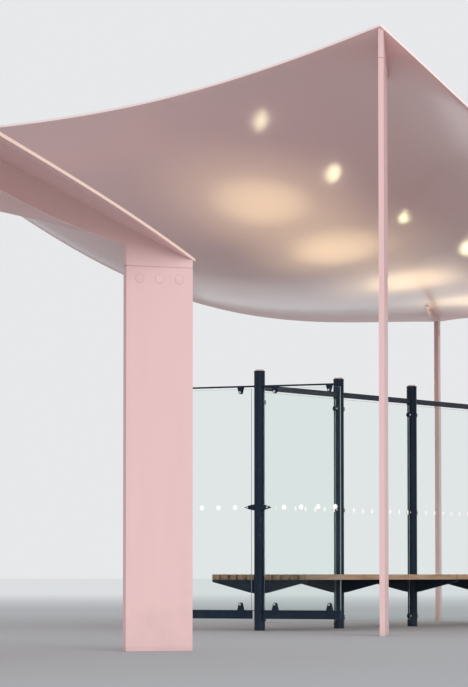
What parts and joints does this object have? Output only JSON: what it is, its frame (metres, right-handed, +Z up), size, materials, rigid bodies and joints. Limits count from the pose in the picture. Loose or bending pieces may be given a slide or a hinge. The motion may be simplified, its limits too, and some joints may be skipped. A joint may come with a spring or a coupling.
{
  "type": "bus shelter",
  "caption": "Bus shelter with two curved steel roof leaves on blade columns, over a glazed spine wall with end screens and a double-sided timber bench.",
  "frame": {"origin": "foot of the first post of the spine wall, at its centre on the ground", "axes": "+X along the spine wall from post 1 to post 5, +Y across it, +Z up"},
  "size_m": [24.3884, 9.1692, 5.15],
  "materials": {
    "roof_paint": "satin",
    "column_paint": "satin",
    "frame_paint": "satin",
    "screen_glass": "polished",
    "lamp_lens": "gloss",
    "bench_timber": "oiled"
  },
  "bodies": {
    "root": {"main_roof_peak": "roof_paint", "main_roof_left": "roof_paint", "main_roof_right": "roof_paint", "main_roof_rear": "roof_paint", "wing_roof_low": "roof_paint", "wing_roof_front": "roof_paint", "wing_roof_back": "roof_paint", "wing_roof_outer": "roof_paint", "peak_column": "column_paint", "left_column": "column_paint", "right_column": "column_paint", "rear_column": "column_paint", "peak_head": "column_paint", "left_head": "column_paint", "right_head": "column_paint", "rear_head": "column_paint", "wing_low_column": "column_paint", "wing_front_column": "column_paint", "wing_back_column": "column_paint", "wing_outer_column": "column_paint", "wing_low_head": "column_paint", "wing_front_head": "column_paint", "wing_back_head": "column_paint", "wing_outer_head": "column_paint", "bolt_covers": "column_paint", "post_1": "frame_paint", "post_2": "frame_paint", "post_3": "frame_paint", "post_4": "frame_paint", "post_5": "frame_paint", "post_lamps": "lamp_lens", "top_rails": "frame_paint", "spine_pane_1": "screen_glass", "spine_pane_2": "screen_glass", "spine_pane_3": "screen_glass", "spine_pane_4": "screen_glass", "glass_clips": "frame_paint", "near_screen_glass": "screen_glass", "near_screen_rails": "frame_paint", "far_screen_glass": "screen_glass", "far_screen_rails": "frame_paint", "screen_clamps": "frame_paint", "bench_seat_near": "bench_timber", "bench_seat_far": "bench_timber", "bench_brackets": "frame_paint"}
  },
  "joints": []
}
